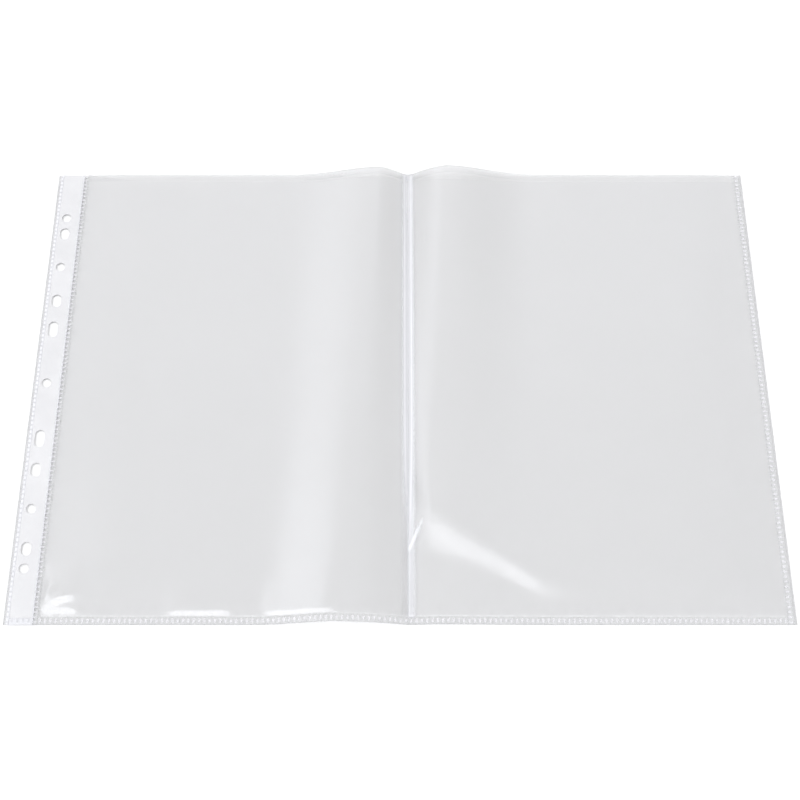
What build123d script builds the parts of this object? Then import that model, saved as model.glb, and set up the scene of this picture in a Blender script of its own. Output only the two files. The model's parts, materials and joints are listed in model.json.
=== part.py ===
from build123d import *
from math import ceil
import os

# A clear pocket for one large sheet, lying open on a table. +X runs to the right across the opened
# sheet, +Y to the open mouth and +Z up. The origin is on the table under the middle. Millimetres.

# The opened sheet
sheet_width = 450.0
sheet_height = 307.0
crease_from_left = 230.0

# Films, the tape laminated between them along the left edge, and the empty pocket
film_thickness = 0.15
tape_thickness = 0.20
pocket_gap = 0.50

# Binding strip: a welded clear margin, the punched strip, then the weld that closes the pocket
edge_seam_width = 3.2
strip_width = 12.8
spine_seam_width = 3.3

# Holes punched through the strip, in pairs about its middle
hole_inset = 8.0
hole_diameter = 6.0
inner_slot_offset = 37.5
inner_slot_length = 11.0
middle_slot_offset = 58.0
middle_slot_length = 9.0
middle_hole_offset = 83.0
outer_slot_offset = 108.0
outer_slot_length = 8.5
outer_hole_offset = 120.0

# Welds, pressed with a row of short bars across the band
foot_seam_width = 4.0
side_seam_width = 4.7
bar_pitch = 3.0
bar_width = 1.4
bar_length = 2.4
bar_rise = 0.12
bar_inset = 0.45

# At the mouth the back film is cut shorter, running out to full height at the spine
mouth_lip = 5.0
lip_run = 40.0

# The sprung film beside the crease: how far it reaches, where it crests, how high it swells and
# how far the two films part at the mouth. A film is lofted through sections this little apart.
fold_reach = 76.0
fold_crest = 26.0
left_swell_at_foot = 7.0
left_swell_at_mouth = 9.0
left_spread_at_mouth = 2.0
right_swell_at_foot = 3.0
right_swell_at_mouth = 10.5
right_spread_at_mouth = 7.5
curve_ease = 0.35
swell_step = 0.8

# Levels above the table
front_film_level = film_thickness + pocket_gap
pocket_thickness = front_film_level + film_thickness
strip_thickness = film_thickness + tape_thickness + film_thickness

# Lines across the sheet
left_edge = -sheet_width / 2
right_edge = sheet_width / 2
hole_line = left_edge + hole_inset
strip_left = left_edge + edge_seam_width
strip_right = strip_left + strip_width
strip_middle = (strip_left + strip_right) / 2
tape_width = strip_width - 2 * film_thickness
pocket_left = strip_right + spine_seam_width
crease = left_edge + crease_from_left
left_fold_edge = crease - fold_reach
right_fold_edge = crease + fold_reach
pocket_right = right_edge - side_seam_width

# Lines up the sheet
foot = -sheet_height / 2
pocket_foot = foot + foot_seam_width
mouth = sheet_height / 2
back_mouth = mouth - mouth_lip


def flat_film(left, right, bottom, top, level):
    """A rectangle of film lying level, its underside at this height."""
    sheet = Box(right - left, top - bottom, film_thickness, align=Align.MIN)
    return Pos(left, bottom, level) * sheet


def left_back_sheet():
    """The left leaf's back film, whose mouth edge slants up to full height at the spine."""
    outline = Polyline(
        (pocket_left, pocket_foot),
        (left_fold_edge, pocket_foot),
        (left_fold_edge, back_mouth),
        (pocket_left + lip_run, back_mouth),
        (pocket_left, mouth),
        close=True,
    )
    return extrude(make_face(outline), film_thickness)


def ring_holes():
    """The outlines of all the punched holes. A slot runs along the strip."""
    slots = (
        (inner_slot_offset, inner_slot_length),
        (middle_slot_offset, middle_slot_length),
        (outer_slot_offset, outer_slot_length),
    )
    outlines = [Pos(hole_line, 0) * Circle(hole_diameter / 2)]
    for side in (-1, 1):
        for offset in (middle_hole_offset, outer_hole_offset):
            outlines.append(Pos(hole_line, side * offset) * Circle(hole_diameter / 2))
        for offset, length in slots:
            slot = SlotOverall(length, hole_diameter, rotation=90)
            outlines.append(Pos(hole_line, side * offset) * slot)
    return outlines


def punched_sheet(width, thickness):
    """A sheet of the binding strip, this wide about the strip's middle, with the holes through it."""
    sheet = Rectangle(width, mouth - pocket_foot, align=(Align.CENTER, Align.MIN))
    outline = Pos(strip_middle, pocket_foot) * sheet
    return extrude(outline - ring_holes(), thickness)


def strip_film():
    """The strip's back film, turned up along both long edges so that the two films close round the tape."""
    lip = Box(film_thickness, mouth - pocket_foot, tape_thickness / 2, align=Align.MIN)
    lips = [
        Pos(left, pocket_foot, film_thickness) * lip
        for left in (strip_left, strip_right - film_thickness)
    ]
    return punched_sheet(strip_width, film_thickness) + lips


def weld_bar():
    """One pressed bar, a low ridge from the origin along -Y, rooted as deep as it rises."""
    ridge = Polyline((-bar_width, -bar_rise), (bar_width, -bar_rise), (0, bar_rise), close=True)
    return extrude(Plane.XZ * make_face(ridge), bar_length)


def dotted_seam(length, width, thickness):
    """A welded band along +X from the origin, its inner side on the X axis, with its pressed bars."""
    band = Box(length, width, thickness, align=(Align.MIN, Align.MAX, Align.MIN))
    row = GridLocations(bar_pitch, 0, int(length / bar_pitch), 1)
    return band + Pos(length / 2, -bar_inset, thickness) * row * weld_bar()


class Fold:
    """The film on one side of the crease, which rises from it in a swell and comes down to the leaf."""

    def __init__(self, side, swells, spread):
        self.side = side
        self.swells = swells
        self.spread = spread

    def line(self, swell, level):
        """The rise and the fall of one face of a film, across the fold."""
        fall_reach = fold_reach - fold_crest
        top = level + swell
        rise = Bezier(
            (0, level),
            (self.side * fold_crest * curve_ease, level),
            (self.side * fold_crest * (1 - curve_ease), top),
            (self.side * fold_crest, top),
        )
        fall = Bezier(
            (self.side * fold_crest, top),
            (self.side * (fold_crest + fall_reach * curve_ease), top),
            (self.side * (fold_reach - fall_reach * curve_ease), level),
            (self.side * fold_reach, level),
        )
        return rise, fall

    def section(self, y, swell, level, thickness):
        """The cut through a film at y, upright at the crease and at the leaf."""
        lower = self.line(swell, level)
        upper = self.line(swell, level + thickness)
        ends = [
            Line((x, level), (x, level + thickness))
            for x in (0, self.side * fold_reach)
        ]
        plane = Plane((crease, y, 0), x_dir=(1, 0, 0), z_dir=(0, -1, 0))
        return plane * make_face([*lower, *upper, *ends])

    def film(self, top, spread, level):
        """A film from the foot weld to its edge at the mouth."""
        foot_swell, mouth_swell = self.swells
        change = mouth_swell - spread - foot_swell
        spans = max(1, ceil(abs(change) / swell_step))
        sections = []
        for i in range(spans + 1):
            y = pocket_foot + (top - pocket_foot) * i / spans
            swell = foot_swell + change * (y - pocket_foot) / (mouth - pocket_foot)
            sections.append(self.section(y, swell, level, film_thickness))
        return loft(sections, ruled=True)

    def front_film(self):
        return self.film(mouth, 0, front_film_level)

    def back_film(self):
        return self.film(back_mouth, self.spread, 0)

    def seam(self):
        """The foot weld, which follows the swell, with its bars square to the band."""
        swell = self.swells[0]
        face = self.section(pocket_foot, swell, 0, pocket_thickness)
        band = extrude(face, foot_seam_width)
        crown = Wire(self.line(swell, pocket_thickness))
        count = int(crown.length / bar_pitch)
        bars = []
        for i in range(count):
            share = (i + 0.5) / count
            spot = crown @ share
            heading = crown % share
            place = Plane(
                (crease + spot.X, pocket_foot - bar_inset, spot.Y),
                x_dir=(abs(heading.X), 0, heading.Y * self.side),
                z_dir=(-heading.Y * self.side, 0, abs(heading.X)),
            )
            bars.append(place * weld_bar())
        return band + bars


left_fold = Fold(-1, (left_swell_at_foot, left_swell_at_mouth), left_spread_at_mouth)
right_fold = Fold(1, (right_swell_at_foot, right_swell_at_mouth), right_spread_at_mouth)
up_the_left = Rot(0, 0, -90)
up_the_right = Rot(0, 0, 90)

pieces = {
    # Binding strip
    "edge_seam": Pos(strip_left, mouth)
    * up_the_left
    * dotted_seam(sheet_height, edge_seam_width, strip_thickness),
    "reinforcement_tape": Pos(0, 0, film_thickness) * punched_sheet(tape_width, tape_thickness),
    "strip_back_film": strip_film(),
    "strip_front_film": mirror(strip_film(), Plane.XY.offset(strip_thickness / 2)),
    "strip_foot_seam": Pos(strip_left, pocket_foot)
    * dotted_seam(strip_width, foot_seam_width, strip_thickness),
    # Left leaf
    "spine_seam": Pos(pocket_left, mouth)
    * up_the_left
    * dotted_seam(sheet_height, spine_seam_width, pocket_thickness),
    "left_back_film": left_back_sheet(),
    "left_front_film": flat_film(pocket_left, left_fold_edge, pocket_foot, mouth, front_film_level),
    "left_foot_seam": Pos(pocket_left, pocket_foot)
    * dotted_seam(left_fold_edge - pocket_left, foot_seam_width, pocket_thickness),
    "left_fold_back_film": left_fold.back_film(),
    "left_fold_front_film": left_fold.front_film(),
    "left_fold_seam": left_fold.seam(),
    # Right leaf
    "right_fold_back_film": right_fold.back_film(),
    "right_fold_front_film": right_fold.front_film(),
    "right_fold_seam": right_fold.seam(),
    "right_back_film": flat_film(right_fold_edge, pocket_right, pocket_foot, back_mouth, 0),
    "right_front_film": flat_film(right_fold_edge, pocket_right, pocket_foot, mouth, front_film_level),
    "right_foot_seam": Pos(right_fold_edge, pocket_foot)
    * dotted_seam(pocket_right - right_fold_edge, foot_seam_width, pocket_thickness),
    "side_seam": Pos(pocket_right, foot)
    * up_the_right
    * dotted_seam(sheet_height, side_seam_width, pocket_thickness),
}

os.makedirs("parts", exist_ok=True)
for name, piece in pieces.items():
    export_step(piece, f"parts/{name}.step")
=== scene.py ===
import json
import math

import bmesh
import bpy
import numpy as np
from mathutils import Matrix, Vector


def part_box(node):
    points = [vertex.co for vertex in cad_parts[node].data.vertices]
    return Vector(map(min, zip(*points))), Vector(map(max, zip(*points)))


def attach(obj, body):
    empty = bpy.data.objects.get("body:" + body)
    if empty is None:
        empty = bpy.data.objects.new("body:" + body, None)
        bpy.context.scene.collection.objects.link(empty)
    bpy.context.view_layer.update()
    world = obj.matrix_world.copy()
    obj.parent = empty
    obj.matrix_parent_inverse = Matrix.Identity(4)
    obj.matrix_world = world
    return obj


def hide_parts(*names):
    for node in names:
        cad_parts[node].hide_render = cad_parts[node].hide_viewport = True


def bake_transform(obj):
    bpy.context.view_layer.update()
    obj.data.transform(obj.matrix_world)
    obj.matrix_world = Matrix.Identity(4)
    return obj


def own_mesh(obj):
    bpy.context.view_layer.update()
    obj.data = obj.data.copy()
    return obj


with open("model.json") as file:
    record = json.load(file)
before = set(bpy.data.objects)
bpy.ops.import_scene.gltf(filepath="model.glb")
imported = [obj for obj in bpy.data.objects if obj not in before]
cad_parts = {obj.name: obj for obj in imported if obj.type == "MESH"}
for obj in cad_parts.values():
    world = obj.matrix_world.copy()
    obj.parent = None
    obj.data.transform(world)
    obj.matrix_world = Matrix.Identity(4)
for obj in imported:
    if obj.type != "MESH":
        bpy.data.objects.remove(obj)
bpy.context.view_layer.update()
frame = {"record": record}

# Back film: clear polypropylene, one sheet under the whole pocket, blown thin and cut with a knife.
# It is welded along the spine, the foot and the right side, cut shorter than the front film at the
# mouth, and sprung up beside the crease, where a narrow web of it lies over the fold line.
MM = 0.001


def span(node, axis):
    """From where to where a solid of the frame reaches along an axis, in millimetres."""
    return [round(getattr(corner, axis) / MM, 3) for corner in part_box(node)]


POCKET_LEFT = span("left_front_film", "x")[0]
CREASE = span("left_fold_front_film", "x")[1]
POCKET_RIGHT = span("right_front_film", "x")[1]
FOOT = span("side_seam", "y")[0]
POCKET_FOOT, MOUTH = span("right_front_film", "y")
BACK_MOUTH = span("right_back_film", "y")[1]
FILM_THICKNESS = span("right_back_film", "z")[1]
LIP_RUN = 40.0


def smooth(start, end, value):
    """0 before start, 1 after end, and an even turn between them."""
    share = np.clip((value - start) / (end - start), 0, 1)
    return share * share * (3 - 2 * share)


def between(first, second, share):
    """A size that goes from the first to the second as the share goes from 0 to 1."""
    return first + (second - first) * share


def up_the_sheet(y):
    """0 at the foot weld, 1 at the mouth."""
    return np.clip((y - POCKET_FOOT) / (MOUTH - POCKET_FOOT), 0, 1)


CLIMB_BOW, FALL_BOW = 1.7, 0.9


def swell(out, valley, crest, fall, height):
    """The sprung film, this far out from the crease: a rounded valley, a crest, and down to the leaf."""
    rounded = np.hypot(out, valley) - valley
    rise = np.clip(rounded / (np.hypot(crest, valley) - valley), 0, 1)
    climb = 1 - (1 - rise) ** CLIMB_BOW
    drop = smooth(0, 1, np.clip((out - crest) / fall, 0, 1) ** FALL_BOW)
    return height * climb * (1 - drop)


def left_swell(x, y, spread=0.0):
    """The left leaf's swell, whose crest wanders away from the crease towards the foot."""
    up = up_the_sheet(y)
    valley = between(1.0, 3.5, up)
    crest = between(42.0, 20.0, up**0.8)
    fall = between(46.0, 56.0, up)
    height = between(7.4, 9.0, up**2) - spread * up
    return swell(CREASE - x, valley, crest, fall, height)


def right_swell(x, y, spread=0.0):
    """The right leaf's swell, high at the mouth and almost gone at the foot."""
    up = up_the_sheet(y)
    valley = between(1.0, 4.0, up)
    crest = between(20.0, 26.0, up)
    fall = 58.0
    height = between(1.2, 10.5, up**1.15) - spread * up
    return swell(x - CREASE, valley, crest, fall, height)


def slack(x, y, size):
    """The faint broad unevenness of film that lies loose, never below its level."""
    waves = (
        # turn per millimetre to the right, the same up the sheet, and where the wave starts
        (0.021, 0.013, 0.4),
        (-0.017, 0.029, 1.9),
        (0.034, -0.022, 4.1),
        (0.011, 0.047, 2.7),
        (-0.043, -0.018, 5.5),
        (0.052, 0.039, 0.9),
    )
    total = sum(np.sin(right * x + up * y + start) for right, up, start in waves)
    return size * (total / len(waves) + 1)


LEFT_SPREAD, RIGHT_SPREAD = 2.0, 7.0
BACK_SLACK, SLACK_RUN = 0.15, 15.0


def left_back_level(x, y):
    """The underside of the left leaf's back film, which the swell lifts less than the front film."""
    loose = smooth(0, SLACK_RUN, x - POCKET_LEFT)
    return left_swell(x, y, LEFT_SPREAD) + slack(x, y, BACK_SLACK) * loose


def right_back_level(x, y):
    """The same on the right leaf, where the two films part further at the mouth."""
    loose = smooth(0, SLACK_RUN, POCKET_RIGHT - x)
    return right_swell(x, y, RIGHT_SPREAD) + slack(x, y, BACK_SLACK) * loose


def left_back_edge(x):
    """The back film's edge at the mouth, which slants up to full height at the spine."""
    run = np.clip((x - POCKET_LEFT) / LIP_RUN, 0, 1)
    return between(MOUTH, BACK_MOUTH, run)


def right_back_edge(x):
    return np.full_like(x, BACK_MOUTH)


def shown(name, data):
    """A mesh, a lamp or a camera becomes an object of the scene."""
    made = bpy.data.objects.new(name, data)
    bpy.context.scene.collection.objects.link(made)
    return made


def film(name, rows, columns, level, top_edge):
    """A closed film over a grid: rows up the sheet, as shares of its height, and columns across it."""
    x, share = np.meshgrid(columns, rows)
    y = POCKET_FOOT + share * (top_edge(x) - POCKET_FOOT)
    lower = np.stack([x, y, level(x, y)], -1).reshape(-1, 3)
    upper = lower + (0, 0, FILM_THICKNESS)
    count = len(lower)
    place = np.arange(count).reshape(x.shape)
    corners = [place[:-1, :-1], place[:-1, 1:], place[1:, 1:], place[1:, :-1]]
    quads = np.stack(corners, -1).reshape(-1, 4)
    rim = np.concatenate([place[0], place[1:, -1], place[-1, -2::-1], place[-2:0:-1, 0]])
    after = np.roll(rim, -1)
    walls = np.stack([rim, after, after + count, rim + count], -1)
    faces = np.concatenate([quads[:, ::-1], quads + count, walls])
    mesh = bpy.data.meshes.new(name)
    mesh.from_pydata((np.concatenate([lower, upper]) * MM).tolist(), [], faces.tolist())
    mesh.polygons.foreach_set("use_smooth", np.arange(len(faces)) < len(faces) - len(walls))
    mesh.update()
    return shown(name, mesh)


class Amount:
    """A number that runs through a node tree. Arithmetic on it adds Math nodes."""

    def __init__(self, tree, socket):
        self.tree = tree
        self.socket = socket

    def worked(self, operation, *values):
        node = add_node(self.tree, "ShaderNodeMath", {"operation": operation}, dict(enumerate(values)))
        return Amount(self.tree, node.outputs[0])

    def __add__(self, other):
        return self.worked("ADD", self, other)

    def __sub__(self, other):
        return self.worked("SUBTRACT", self, other)

    def __rsub__(self, other):
        return self.worked("SUBTRACT", other, self)

    def __mul__(self, other):
        return self.worked("MULTIPLY", self, other)

    def __truediv__(self, other):
        return self.worked("DIVIDE", self, other)

    def __gt__(self, other):
        return self.worked("GREATER_THAN", self, other)

    def __abs__(self):
        return self.worked("ABSOLUTE", self)

    __radd__ = __add__
    __rmul__ = __mul__


def connect(tree, entry, value):
    """A socket takes a link from another node, or a plain value."""
    if isinstance(value, Amount):
        value = value.socket
    if isinstance(value, bpy.types.NodeSocket):
        tree.links.new(value, entry)
    else:
        entry.default_value = value


def add_node(tree, kind, settings={}, sockets={}):
    """A node of this kind, with its settings first and then the values or links of its sockets."""
    made = tree.nodes.new(kind)
    for name, value in settings.items():
        setattr(made, name, value)
    for name, value in sockets.items():
        connect(tree, made.inputs[name], value)
    return made


def eased(tree, value, start, end, low=0.0, high=1.0):
    """Low to high as the value goes from start to end, turning evenly."""
    sockets = {"Value": value, "From Min": start, "From Max": end, "To Min": low, "To Max": high}
    made = add_node(tree, "ShaderNodeMapRange", {"interpolation_type": "SMOOTHSTEP"}, sockets)
    return Amount(tree, made.outputs[0])


GRAZING_MIRROR = 0.4


class Finish:
    """A material in the making."""

    def __init__(self, name):
        self.material = bpy.data.materials.new(name)
        self.material.use_nodes = True
        self.tree = self.material.node_tree
        self.tree.nodes.clear()
        self.place = self.node("ShaderNodeTexCoord").outputs["Object"]

    def node(self, kind, settings={}, sockets={}):
        return add_node(self.tree, kind, settings, sockets)

    def amount(self, kind, settings={}, sockets={}, out=0):
        return Amount(self.tree, self.node(kind, settings, sockets).outputs[out])

    def at(self, axis):
        """The place along an axis, in millimetres."""
        split = self.node("ShaderNodeSeparateXYZ", {}, {"Vector": self.place})
        return Amount(self.tree, split.outputs[axis]) / MM

    def noise(self, scale, detail=2.0, roughness=0.5):
        """An even, fixed grain, scale lumps to the metre."""
        sockets = {"Vector": self.place, "Scale": scale, "Detail": detail, "Roughness": roughness}
        return self.amount("ShaderNodeTexNoise", {}, sockets)

    def ramp(self, value, start, end):
        """0 to 1 as the value goes from start to end."""
        return eased(self.tree, value, start, end)

    def mixed(self, share, first, second):
        """A colour between two, with this share of the second."""
        sockets = {"Factor": share, 6: first, 7: second}
        return self.node("ShaderNodeMix", {"data_type": "RGBA"}, sockets).outputs[2]

    def bump(self, height, strength, distance):
        sockets = {"Height": height, "Strength": strength, "Distance": distance}
        return self.node("ShaderNodeBump", {}, sockets).outputs[0]

    def gloss(self, normal, square_on):
        """How much a polished face mirrors, the same from its two sides."""
        slant = self.amount("ShaderNodeLayerWeight", {}, {"Blend": 0.5, "Normal": normal}, 1)
        return square_on + slant.worked("POWER", slant, 5.0) * (GRAZING_MIRROR - square_on)

    def see_through(self, solid_share, passes, solid):
        """Clear material that lets this colour through, and of which this share is solid."""
        clear = self.node("ShaderNodeBsdfTransparent", {}, {"Color": passes})
        sockets = {0: solid_share, 1: clear.outputs[0], 2: solid.outputs[0]}
        return self.surfaced(self.node("ShaderNodeMixShader", {}, sockets))

    def surfaced(self, shader):
        """The finished material, with this shader as its surface."""
        self.node("ShaderNodeOutputMaterial", {}, {"Surface": shader.outputs[0]})
        return self.material


# A faint blue, which also colours the painted highlight in the crease and on the streak.
FILM_TINT = (0.945, 0.95, 0.985, 1)
# The grey of cut edges, which also colours the painted shade on the lip and the crease's flank.
CUT_EDGE_AND_SHADE_GREY = (0.42, 0.42, 0.44, 1)


def clear_film(name, mirrors, passes, marks_and_painted_light=None):
    """Glossy clear film: what it doesn't mirror it lets through, but where it carries whitening, painted
    highlight and painted shade.
    """
    look = Finish(name)
    cloud = look.noise(28.0, 2.0, 0.6)
    ripple = look.noise(150.0, 1.0)
    shine = look.bump(ripple, 0.25, 0.0004)
    gloss = look.gloss(shine, mirrors) + cloud * 0.008
    solid_share, tint, mirror_share = gloss, FILM_TINT, 1.0
    if marks_and_painted_light:
        whitening_and_highlight, greyed = marks_and_painted_light(look)
        solid_share = gloss + whitening_and_highlight + greyed
        tint = look.mixed(greyed / solid_share, FILM_TINT, CUT_EDGE_AND_SHADE_GREY)
        mirror_share = gloss / solid_share
    solid = look.node(
        "ShaderNodeBsdfPrincipled",
        {},
        {
            "Base Color": tint,
            "Metallic": mirror_share,
            "Roughness": 0.15 + cloud * 0.1,
            "Normal": shine,
        },
    )
    return look.see_through(solid_share, passes, solid)


# The grey that the two films show together is all given to the front one, so this one stays clear.
BACK_PASSES = (0.995, 0.995, 0.995, 1)
back_film_finish = clear_film("clear_film_on_table", 0.02, BACK_PASSES)


def flatten(piece):
    """The piece gets a mesh of its own."""
    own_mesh(piece)


def lay(sheet, finish, nodes, body):
    """The film moves with its leaf and stands for its solids."""
    sheet.data.materials.append(finish)
    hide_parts(*nodes)
    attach(sheet, body)
    flatten(sheet)


def spread_over(start, end, step):
    """Even lines from start to end, no more than this far apart."""
    return np.linspace(start, end, math.ceil(abs(end - start) / step) + 1)


WEB_HALF, WEB_LAP, WEB_LEVEL = 0.5, 0.05, 0.005
FINE_HALF, FINE_STEP, LEAF_STEP = 46.0, 0.8, 1.9
FILM_ROWS, WEB_ROWS, WEB_COLUMNS = 191, 76, 15
film_rows = np.linspace(0, 1, FILM_ROWS)
left_columns = np.append(
    spread_over(POCKET_LEFT, CREASE - FINE_HALF, LEAF_STEP)[:-1],
    spread_over(CREASE - FINE_HALF, CREASE - WEB_HALF, FINE_STEP),
)
right_columns = np.append(
    spread_over(CREASE + WEB_HALF, CREASE + FINE_HALF, FINE_STEP)[:-1],
    spread_over(CREASE + FINE_HALF, POCKET_RIGHT, LEAF_STEP),
)
left_back = film("left_back_sheet", film_rows, left_columns, left_back_level, left_back_edge)
lay(
    left_back,
    back_film_finish,
    ("left_back_film", "left_fold_back_film"),
    "left_leaf",
)

# A web runs on below the pocket, through the foot weld.
web_rows = np.append((FOOT - POCKET_FOOT) / (MOUTH - POCKET_FOOT), np.linspace(0, 1, WEB_ROWS))


def web_level(x, y):
    return np.full_like(x, WEB_LEVEL)


def web(name, line, top_edge):
    """A narrow web of film over a line that bends, from one body to the next."""
    reach = WEB_HALF + WEB_LAP
    columns = line + np.linspace(-reach, reach, WEB_COLUMNS)
    made = film(name, web_rows, columns, web_level, top_edge)
    made.data.materials.append(back_film_finish)
    (line - WEB_HALF) * MM
    (line + WEB_HALF) * MM
    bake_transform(made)
    return made


crease_web = web("crease_web", CREASE, right_back_edge)
right_back = film("right_back_sheet", film_rows, right_columns, right_back_level, right_back_edge)
lay(
    right_back,
    back_film_finish,
    ("right_back_film", "right_fold_back_film"),
    "right_leaf",
)

# Reinforcement tape: a strip of milky white polypropylene along the left edge, laminated between the
# two films and punched through with them for the rings of a binder. At its right edge runs a narrow
# web of film.
STRIP_LEFT, STRIP_RIGHT = span("strip_back_film", "x")
STRIP_TOP = span("strip_front_film", "z")[1]
TAPE_BOTTOM, TAPE_TOP = span("reinforcement_tape", "z")
TAPE_CLEARANCE = 0.01
FILM_LAP, TAPE_LAP = 0.05, 0.1
HOLE_POINTS = 48


def white_tape():
    look = Finish("white_tape")
    cloud = look.noise(45.0, 4.0, 0.6)
    grain = look.noise(1500.0, 3.0)
    duller, whiter = (0.74, 0.74, 0.755, 1), (0.78, 0.78, 0.795, 1)
    solid = look.node(
        "ShaderNodeBsdfPrincipled",
        {},
        {
            "Base Color": look.mixed(look.ramp(cloud, 0.35, 0.7), duller, whiter),
            "Roughness": 0.32 + grain * 0.12,
            "Normal": look.bump(grain, 0.2, 0.00005),
        },
    )
    return look.surfaced(solid)


def hole_outlines():
    """The eleven holes of the record: a round one in the middle, and pairs of slots and holes beside it."""
    mounts = frame["record"]["mounts"]
    middle = next(mount for mount in mounts if mount["kind"] == "bore")
    radius = middle["dims"]["r_mm"]
    holes = [(0.0, 2 * radius)]
    for pair in (mount["dims"] for mount in mounts if mount["kind"] == "bolt_pattern"):
        for side in (-1, 1):
            holes.append((side * pair["spacing_y_mm"] / 2, pair.get("slot_length_mm", 2 * radius)))
    line = round(middle["pos_m"][0] / MM, 3)
    turn = np.linspace(0, 2 * math.pi, HOLE_POINTS, endpoint=False) + math.pi / HOLE_POINTS
    for y, length in holes:
        straight = np.sign(np.sin(turn)) * (length / 2 - radius)
        yield np.stack([line + radius * np.cos(turn), y + straight + radius * np.sin(turn)], -1)


def punched(name, lap, bottom, top):
    """A closed strip between two levels that laps this far into the welds, with the holes through it."""
    left, right, foot = STRIP_LEFT - lap, STRIP_RIGHT + lap, POCKET_FOOT - lap
    border = [(left, foot), (right, foot), (right, MOUTH), (left, MOUTH)]
    mesh = bmesh.new()
    for ring in [border, *hole_outlines()]:
        corners = [mesh.verts.new((x * MM, y * MM, bottom * MM)) for x, y in ring]
        for corner, after in zip(corners, corners[1:] + corners[:1]):
            mesh.edges.new((corner, after))
    bmesh.ops.triangle_fill(mesh, edges=mesh.edges[:], use_beauty=True)
    grown = bmesh.ops.extrude_face_region(mesh, geom=mesh.faces[:], use_keep_orig=True)
    raised = [part for part in grown["geom"] if isinstance(part, bmesh.types.BMVert)]
    bmesh.ops.translate(mesh, verts=raised, vec=(0, 0, (top - bottom) * MM))
    bmesh.ops.recalc_face_normals(mesh, faces=mesh.faces[:])
    data = bpy.data.meshes.new(name)
    mesh.to_mesh(data)
    mesh.free()
    return shown(name, data)


def mouth_edge(x):
    return np.full_like(x, MOUTH)


def bind(strip, finish, node):
    """The strip moves with the binding edge and stands for its solid."""
    strip.data.materials.append(finish)
    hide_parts(node)
    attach(strip, "binding_edge")


spine_web = web("spine_web", STRIP_RIGHT, mouth_edge)
strip_back = punched("strip_back_sheet", FILM_LAP, 0.0, FILM_THICKNESS)
bind(strip_back, back_film_finish, "strip_back_film")
tape = punched("tape", TAPE_LAP, TAPE_BOTTOM + TAPE_CLEARANCE, TAPE_TOP - TAPE_CLEARANCE)
bind(tape, white_tape(), "reinforcement_tape")
strip_front = punched("strip_front_sheet", FILM_LAP, TAPE_TOP, STRIP_TOP)
bind(strip_front, back_film_finish, "strip_front_film")

# Front film: a second sheet of the same polypropylene over the first, welded to it round three sides.
# It is held down by the welds, stands a little proud of the back film between them, and shows
# a buckle beside the crease and a few pleats in the corner where spine and foot weld meet.
FRONT_LEVEL = span("right_front_film", "z")[0]
POCKET_WELD_TOP = 0.5
HELD_RUN, PUFF_RUN = 30.0, 45.0
FRONT_SLACK = 0.45


def held_down(edge):
    """The film's level beside a weld, this far from it: from the weld's top up to the full gap."""
    return between(POCKET_WELD_TOP - FILM_THICKNESS, FRONT_LEVEL, smooth(0, HELD_RUN, edge))


def stretch(rise_from, rise_to, fall_from, fall_to, value):
    """0, up to 1 between the first two, and down to 0 again between the last two."""
    return smooth(rise_from, rise_to, value) * (1 - smooth(fall_from, fall_to, value))


BULGE_HEIGHT, PLEAT_HEIGHT = 2.0, 0.55
PLEATS_PER_TURN, PLEAT_SWEEP = 13, 0.22


def pleats(x, y):
    """The bulge in the corner of spine and foot weld, with small folds that run out of it."""
    right, up = x - POCKET_LEFT, y - POCKET_FOOT
    away = np.hypot(right, up)
    turn = np.arctan2(up, right + 0.001)
    folds = 0.5 + 0.5 * np.sin(PLEATS_PER_TURN * turn + PLEAT_SWEEP * away)
    bulge = BULGE_HEIGHT * stretch(0, 14, 15, 36, up) * stretch(0, 5, 11, 27, right)
    return bulge + PLEAT_HEIGHT * folds * stretch(2, 8, 13, 30, away)


ROLL_HEIGHT = 0.75


def foot_rolls(x, y):
    """Where the film rolls up out of the foot weld, in two stretches left of the fold."""
    rolled = stretch(-138, -126, -102, -92, x) + stretch(-82, -72, -44, -32, x)
    return ROLL_HEIGHT * rolled * stretch(0, 4.5, 8, 34, y - POCKET_FOOT)


def left_front_level(x, y):
    """The underside of the left leaf's front film."""
    edge = np.minimum(x - POCKET_LEFT, y - POCKET_FOOT)
    lift = slack(x, y, FRONT_SLACK) * smooth(0, PUFF_RUN, edge)
    return held_down(edge) + left_swell(x, y) + lift + foot_rolls(x, y) + pleats(x, y)


BUCKLE_Y, BUCKLE_BEND, BUCKLE_REACH = -110.0, 0.0065, 78.0
BUCKLE_LEAD, BUCKLE_EASE = 6.0, 38.0


def buckle(x, y):
    """Beside the crease the film tilts up from a line that bends to the right, and eases down again."""
    out = x - CREASE
    past = y - BUCKLE_Y + BUCKLE_BEND * np.minimum(out, BUCKLE_REACH) ** 1.9
    face = between(8.0, 48.0, np.exp(-out / 28))
    tilt = between(0.072, 0.107, np.exp(-out / 14))
    height = tilt * (face + BUCKLE_LEAD) * smooth(-BUCKLE_LEAD, face, past)
    return height * np.exp(-np.maximum(past - face, 0) / BUCKLE_EASE) * stretch(0, 15, 60, 105, out)


STREAK_RIGHT, STREAK_UP = 0.385, 0.923
RIDGE_HEIGHT, RIDGE_HALF = 0.12, 2.0


def ridge(x, y):
    """The sharp little fold in which the buckle ends at the crease, slanting up to the right."""
    out, up = x - CREASE, y - BUCKLE_Y
    along = out * STREAK_RIGHT + up * STREAK_UP
    aside = out * STREAK_UP - up * STREAK_RIGHT
    return RIDGE_HEIGHT * np.exp(-((aside / RIDGE_HALF) ** 2)) * stretch(-1, 4, 13, 25, along)


WAVE_SHIFT = 300.0


def right_front_level(x, y):
    """The underside of the right leaf's front film, with waves other than the left leaf's."""
    edge = np.minimum(POCKET_RIGHT - x, y - POCKET_FOOT)
    lift = slack(x + WAVE_SHIFT, y, FRONT_SLACK) * smooth(0, PUFF_RUN, edge)
    return held_down(edge) + right_swell(x, y) + lift + buckle(x, y) + ridge(x, y)


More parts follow.
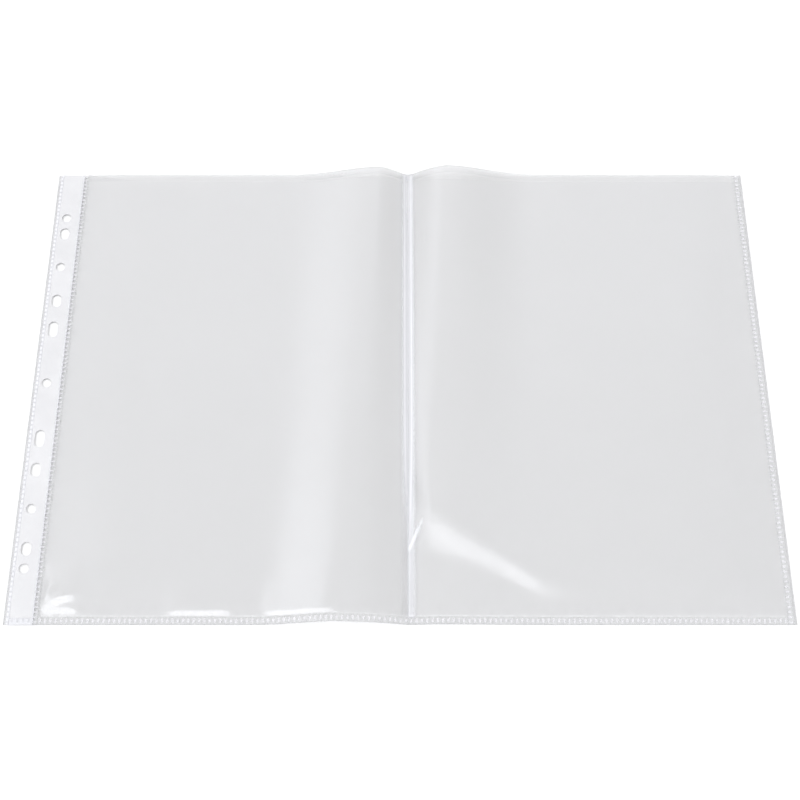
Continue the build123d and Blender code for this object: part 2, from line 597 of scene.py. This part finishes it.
LINE_OUT, STREAK_Y = 2.2, -109.8
BAND_WHITENING_AND_HIGHLIGHT, LINE_WHITENING_AND_HIGHLIGHT, STREAK_PAINTED_HIGHLIGHT = 0.32, 0.16, 0.5
MOUTH_FADE = 0.22
LIP_PAINTED_SHADE, SWELL_LIP_PAINTED_SHADE, MOUTH_EDGE_GREY, FLANK_PAINTED_SHADE = 0.012, 0.068, 0.06, 0.06
FRONT_PASSES = (0.928, 0.928, 0.928, 1)


def fold_whitening_and_painted_light(look):
    """How much the film is white from folding and painted highlight, and how much its lip and the crease's
    flank are greyed with painted shade.
    """
    out, y = look.at("X") - CREASE, look.at("Y")

    # A pale band with two whiter lines that run together at the foot, where only its right side shows.
    # It is partly the film's own whitening by the fold and partly painted highlight for the sky mirrored in
    # the crease.
    band = look.ramp(abs(out), 5.0, 2.0)
    lines = look.ramp(abs(abs(out) - look.ramp(y, -140.0, -20.0) * LINE_OUT), 1.3, 0.0)
    both_sides = look.ramp(y, -130.0, -30.0)
    seen = both_sides + look.ramp(out, -1.0, 0.0) * (1 - both_sides)
    fade = 1 - look.ramp(y, 0.0, 150.0) * MOUTH_FADE
    crease = (band * BAND_WHITENING_AND_HIGHLIGHT + lines * LINE_WHITENING_AND_HIGHLIGHT) * seen * fade

    # The short bright streak on the ridge, a painted highlight.
    up = y - STREAK_Y
    along = out * STREAK_RIGHT + up * STREAK_UP
    aside = abs(out * STREAK_UP - up * STREAK_RIGHT)
    streak = look.ramp(aside, 1.7, 0.0) * look.ramp(along, -1.0, 3.0) * look.ramp(along, 24.0, 11.0)

    # The lip past the back film's edge, greyed with painted shade that is darker on the swells, the grey of
    # its cut edge, and painted shade on the crease's left flank.
    lip = look.ramp(y, BACK_MOUTH - 0.5, BACK_MOUTH + 0.5)
    on_swells = look.ramp(abs(out), 75.0, 45.0)
    cut_edge = look.ramp(y, MOUTH - 0.9, MOUTH - 0.4)
    flank = look.ramp(out, -5.2, -3.6) * look.ramp(out, 0.2, -0.8) * (1 - both_sides)
    greyed = lip * (LIP_PAINTED_SHADE + on_swells * SWELL_LIP_PAINTED_SHADE)
    greyed = greyed + cut_edge * MOUTH_EDGE_GREY + flank * FLANK_PAINTED_SHADE
    return crease + streak * STREAK_PAINTED_HIGHLIGHT, greyed


film_finish = clear_film("clear_film", 0.05, FRONT_PASSES, fold_whitening_and_painted_light)

left_front_columns = np.append(left_columns, CREASE)
left_front = film("left_front_sheet", film_rows, left_front_columns, left_front_level, mouth_edge)
lay(
    left_front,
    film_finish,
    ("left_front_film", "left_fold_front_film"),
    "left_leaf",
)
right_front_columns = np.append(CREASE, right_columns)
right_front = film("right_front_sheet", film_rows, right_front_columns, right_front_level, mouth_edge)
lay(
    right_front,
    film_finish,
    ("right_front_film", "right_fold_front_film"),
    "right_leaf",
)

# Welds: bands where a heated bar has melted the two films into one and pressed a row of short bars
# into them. They run up the outer edge, the spine and the right side, and along the foot.
LEFT_EDGE = span("edge_seam", "x")[0]
RIGHT_EDGE = span("side_seam", "x")[1]
STRIP_WELD_TOP = 0.38
BAR_PITCH, BAR_WIDTH, BAR_LENGTH = 3.0, 1.4, 2.5
STEPS_PER_BAR = 8
BAR_WHITE, CAUGHT_WHITE, CAUGHT_BAR_DIP = 0.33, 0.62, 0.22
WELD_EDGE_GREY = 0.14
WELD_PASSES = (0.909, 0.909, 0.911, 1)


def weld_tree():
    """A flat band along X whose upper face carries the pressed bars, with every size an input."""
    tree = bpy.data.node_groups.new("pressed_weld", "GeometryNodeTree")
    sizes = (
        "Length", "Width", "Thickness", "Step", "Bar Pitch",
        "Bar Width", "Bar Length", "Bar Rise", "Bar Offset",
    )
    for name in sizes:
        tree.interface.new_socket(name=name, in_out="INPUT", socket_type="NodeSocketFloat")
    tree.interface.new_socket(name="Finish", in_out="INPUT", socket_type="NodeSocketMaterial")
    tree.interface.new_socket(name="Geometry", in_out="OUTPUT", socket_type="NodeSocketGeometry")

    def node(kind, settings={}, sockets={}):
        return add_node(tree, kind, settings, sockets)

    def on_bar(distance, half):
        """1 on the bar, 0 beside it, with a rounded shoulder."""
        return eased(tree, distance, half * 1.25, half * 0.5)

    given = node("NodeGroupInput").outputs
    size = {name: Amount(tree, given[name]) for name in sizes}
    extent = {"X": size["Length"], "Y": size["Width"], "Z": size["Thickness"]}
    band = node(
        "GeometryNodeMeshCube",
        {},
        {
            "Size": node("ShaderNodeCombineXYZ", {}, extent).outputs[0],
            "Vertices X": size["Length"] / size["Step"] + 1.25,
            "Vertices Y": size["Width"] / size["Step"] + 1.25,
            "Vertices Z": 2,
        },
    )
    place = node("GeometryNodeInputPosition").outputs[0]
    split = node("ShaderNodeSeparateXYZ", {}, {"Vector": place})
    x, y, z = (Amount(tree, out) for out in split.outputs)
    run = (x + size["Length"] * 0.5) / size["Bar Pitch"]
    from_bar = abs(run.worked("FRACT", run) - 0.5) * size["Bar Pitch"]
    across = abs(y - size["Bar Offset"])
    pressed = on_bar(from_bar, size["Bar Width"] * 0.5) * on_bar(across, size["Bar Length"] * 0.5)
    pressed = pressed * (z > 0)
    lift = node("ShaderNodeCombineXYZ", {}, {"Z": pressed * size["Bar Rise"]}).outputs[0]
    raised = node("GeometryNodeSetPosition", {}, {"Geometry": band.outputs["Mesh"], "Offset": lift})
    marked = node(
        "GeometryNodeStoreNamedAttribute",
        {"data_type": "FLOAT", "domain": "POINT"},
        {"Geometry": raised.outputs[0], "Name": "pressed", "Value": pressed},
    )
    shaded = node("GeometryNodeSetShadeSmooth", {}, {0: marked.outputs[0]})
    whole = node("GeometryNodeRealizeInstances", {}, {0: shaded.outputs[0]})
    finished = {"Geometry": whole.outputs[0], "Material": given["Finish"]}
    dressed = node("GeometryNodeSetMaterial", {}, finished)
    node("NodeGroupOutput", {}, {0: dressed.outputs[0]})
    return tree


def welded_film():
    """Fused film: clear between the bars, white where one was pressed or the tape's rim was caught."""
    look = Finish("welded_film")
    x, y = look.at("X"), look.at("Y")
    pressed = look.amount("ShaderNodeAttribute", {"attribute_name": "pressed"}, {}, 2)
    cloud = look.noise(60.0, 3.0)
    shine = look.bump(cloud, 0.1, 0.0003)
    gloss = look.gloss(shine, 0.03)
    past_margin = look.ramp(x, LEFT_EDGE + 1.0, LEFT_EDGE + 1.8)
    caught = past_margin * look.ramp(x, STRIP_RIGHT + 1.1, STRIP_RIGHT + 0.5)
    bar_white = pressed * (BAR_WHITE + cloud * 0.1)
    white = bar_white.worked("MAXIMUM", bar_white, caught * (CAUGHT_WHITE - pressed * CAUGHT_BAR_DIP))
    sides = look.ramp(abs(x), RIGHT_EDGE - 1.4, RIGHT_EDGE - 0.5)
    foot = look.ramp(y, FOOT + 0.7, FOOT + 0.3)
    cut_edge = sides.worked("MAXIMUM", sides, foot) * WELD_EDGE_GREY
    solid_share = gloss + white + cut_edge
    solid = look.node(
        "ShaderNodeBsdfPrincipled",
        {},
        {
            "Base Color": look.mixed(cut_edge / solid_share, FILM_TINT, CUT_EDGE_AND_SHADE_GREY),
            "Metallic": gloss / solid_share,
            "Roughness": 0.16 + cloud * 0.1,
            "Normal": shine,
        },
    )
    return look.see_through(solid_share, WELD_PASSES, solid)


weld_shape = weld_tree()
weld_finish = welded_film()


def pressed_band(name, length, width, thickness, bar_rise, bar_offset, bar_length):
    """A band along X about the origin with its row of bars, as a plain mesh in millimetres."""
    mesh = bpy.data.meshes.new(name)
    made = shown(name, mesh)
    maker = made.modifiers.new("weld", "NODES")
    maker.node_group = weld_shape
    pitch = length / round(length / BAR_PITCH)
    values = {
        "Length": length,
        "Width": width,
        "Thickness": thickness,
        "Step": pitch / STEPS_PER_BAR,
        "Bar Pitch": pitch,
        "Bar Width": BAR_WIDTH,
        "Bar Length": bar_length,
        "Bar Rise": bar_rise,
        "Bar Offset": bar_offset,
        "Finish": weld_finish,
    }
    for entry in weld_shape.interface.items_tree:
        if entry.in_out == "INPUT":
            maker[entry.identifier] = values[entry.name]
    seen = made.evaluated_get(bpy.context.evaluated_depsgraph_get())
    made.data = bpy.data.meshes.new_from_object(seen)
    made.data.name = name
    made.modifiers.clear()
    bpy.data.meshes.remove(mesh)
    return made


def weld(name, across, up, thickness, bar_rise, bar_offset=0.0, bar_length=BAR_LENGTH, follow=None):
    """A pressed band between two lines across the sheet and two lines up it, which follows the film."""
    (left, right), (foot, top) = across, up
    width, height = right - left, top - foot
    upright = height > width
    length, breadth = max(width, height), min(width, height)
    made = pressed_band(name, length, breadth, thickness, bar_rise, bar_offset, bar_length)
    points = np.empty(len(made.data.vertices) * 3)
    made.data.vertices.foreach_get("co", points)
    points = points.reshape(-1, 3)
    if upright:
        points = np.stack([-points[:, 1], points[:, 0], points[:, 2]], -1)
    points += ((left + right) / 2, (foot + top) / 2, thickness / 2)
    if follow:
        points[:, 2] += follow(points[:, 0], points[:, 1])
    made.data.vertices.foreach_set("co", (points * MM).ravel())
    made.data.update()
    return made


def fix(piece, nodes, body):
    """The weld belongs to a body and stands for its solids."""
    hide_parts(*nodes)
    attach(piece, body)


FULL_HEIGHT, FOOT_BAND = (FOOT, MOUTH), (FOOT, POCKET_FOOT)
STRIP_RISE, POCKET_RISE = 0.08, 0.1
EDGE_BAR_OFFSET, EDGE_BAR_LENGTH = -0.45, 1.7
FOOT_BAR_OFFSET, SIDE_BAR_OFFSET = 0.3, 0.95

edge_weld = weld(
    "edge_weld",
    (LEFT_EDGE, STRIP_LEFT),
    FULL_HEIGHT,
    STRIP_WELD_TOP,
    STRIP_RISE,
    EDGE_BAR_OFFSET,
    EDGE_BAR_LENGTH,
)
fix(edge_weld, ["edge_seam"], "binding_edge")

strip_foot_weld = weld(
    "strip_foot_weld", (STRIP_LEFT, STRIP_RIGHT), FOOT_BAND, STRIP_WELD_TOP, STRIP_RISE, FOOT_BAR_OFFSET
)
fix(strip_foot_weld, ["strip_foot_seam"], "binding_edge")

spine_weld = weld("spine_weld", (STRIP_RIGHT, POCKET_LEFT), FULL_HEIGHT, POCKET_WELD_TOP, POCKET_RISE)
fix(spine_weld, ["spine_seam"], "left_leaf")

left_foot_weld = weld(
    "left_foot_weld",
    (POCKET_LEFT, CREASE),
    FOOT_BAND,
    POCKET_WELD_TOP,
    POCKET_RISE,
    FOOT_BAR_OFFSET,
    follow=left_swell,
)
fix(left_foot_weld, ["left_foot_seam", "left_fold_seam"], "left_leaf")
flatten(left_foot_weld)

right_foot_weld = weld(
    "right_foot_weld",
    (CREASE, POCKET_RIGHT),
    FOOT_BAND,
    POCKET_WELD_TOP,
    POCKET_RISE,
    FOOT_BAR_OFFSET,
    follow=right_swell,
)
fix(right_foot_weld, ["right_foot_seam", "right_fold_seam"], "right_leaf")
flatten(right_foot_weld)

side_weld = weld(
    "side_weld", (POCKET_RIGHT, RIGHT_EDGE), FULL_HEIGHT, POCKET_WELD_TOP, POCKET_RISE, SIDE_BAR_OFFSET
)
fix(side_weld, ["side_seam"], "right_leaf")

# Table: a plain matt white surface. It lies a little below the pocket, so that the punched holes show
# a shaded rim on it.
TABLE_HALF, TABLE_DROP = 5.0, 0.0012
corners = [(-1, -1), (1, -1), (1, 1), (-1, 1)]
table_mesh = bpy.data.meshes.new("table")
table_mesh.from_pydata([(x * TABLE_HALF, y * TABLE_HALF, 0) for x, y in corners], [], [(0, 1, 2, 3)])
table = shown("table", table_mesh)
table.location.z = -TABLE_DROP


def matt_white():
    look = Finish("matt_white")
    grain = look.noise(300.0, 3.0)
    solid = look.node(
        "ShaderNodeBsdfPrincipled",
        {},
        {"Base Color": (0.93, 0.93, 0.93, 1), "Roughness": 0.75 + grain * 0.1, "Specular IOR Level": 0.2},
    )
    return look.surfaced(solid)


table_mesh.materials.append(matt_white())

# Studio: a broad soft box above and a little in front, which only film that tilts forwards mirrors
# towards the camera, a small one behind on the left, and a soft sky that is brighter on the left,
# behind and round the horizon.
scene = bpy.context.scene
scene.view_settings.view_transform = "Standard"
scene.cycles.transparent_max_bounces = 32
world = bpy.data.worlds.new("studio")
world.use_nodes = True
scene.world = world
sky = world.node_tree
direction = add_node(sky, "ShaderNodeTexCoord").outputs["Generated"]
way = add_node(sky, "ShaderNodeSeparateXYZ", {}, {"Vector": direction}).outputs

overhead = eased(sky, way["Z"], 0.4, 0.8, 0.13, 0.6)
dim_right = eased(sky, way["X"], 0.15, 0.5, 1.0, 0.45)
bright_left = eased(sky, way["X"], -0.5, -0.2, 1.75, 1.0)
bright_behind = eased(sky, way["Y"], 0.25, 0.6, 0.9, 1.7)
horizon = eased(sky, way["Z"], 0.05, 0.45, 0.95, 0.0)
background = sky.nodes["Background"].inputs
background["Color"].default_value = (0.99, 0.99, 1.0, 1)
connect(sky, background["Strength"], overhead * dim_right * bright_left * bright_behind + horizon)


def turned_to(aim, place):
    """How a lamp or a camera at a place is turned so that it looks at its aim."""
    return (Vector(aim) - Vector(place)).to_track_quat("-Z", "Y").to_euler()


def soft_box(name, place, size, power, tint):
    """A lamp with a lit rectangle, turned to the middle of the sheet."""
    data = bpy.data.lights.new(name, "AREA")
    data.shape = "RECTANGLE"
    data.size, data.size_y = size
    data.energy = power
    data.color = tint
    lamp = shown(name, data)
    lamp.location = place
    lamp.rotation_euler = turned_to((0, 0, 0), place)


soft_box("top_box", place=(0, -1.4, 6.0), size=(11.0, 4.0), power=400.0, tint=(0.99, 0.995, 1.0))
soft_box("left_box", place=(-1.36, 0.5, 1.7), size=(0.9, 1.2), power=1.4, tint=(0.95, 0.97, 1.0))

# Camera: in front of the foot, looking down on the sheet.
camera_data = bpy.data.cameras.new("camera")
camera_data.sensor_width = 36.0
camera_data.lens = 63.99
camera_data.clip_start = 0.02
camera = shown("camera", camera_data)
camera.location = (0, -0.3935, 0.7795)
camera.rotation_euler = turned_to((0, -0.0116, 0), camera.location)
scene.camera = camera

bpy.context.view_layer.update()
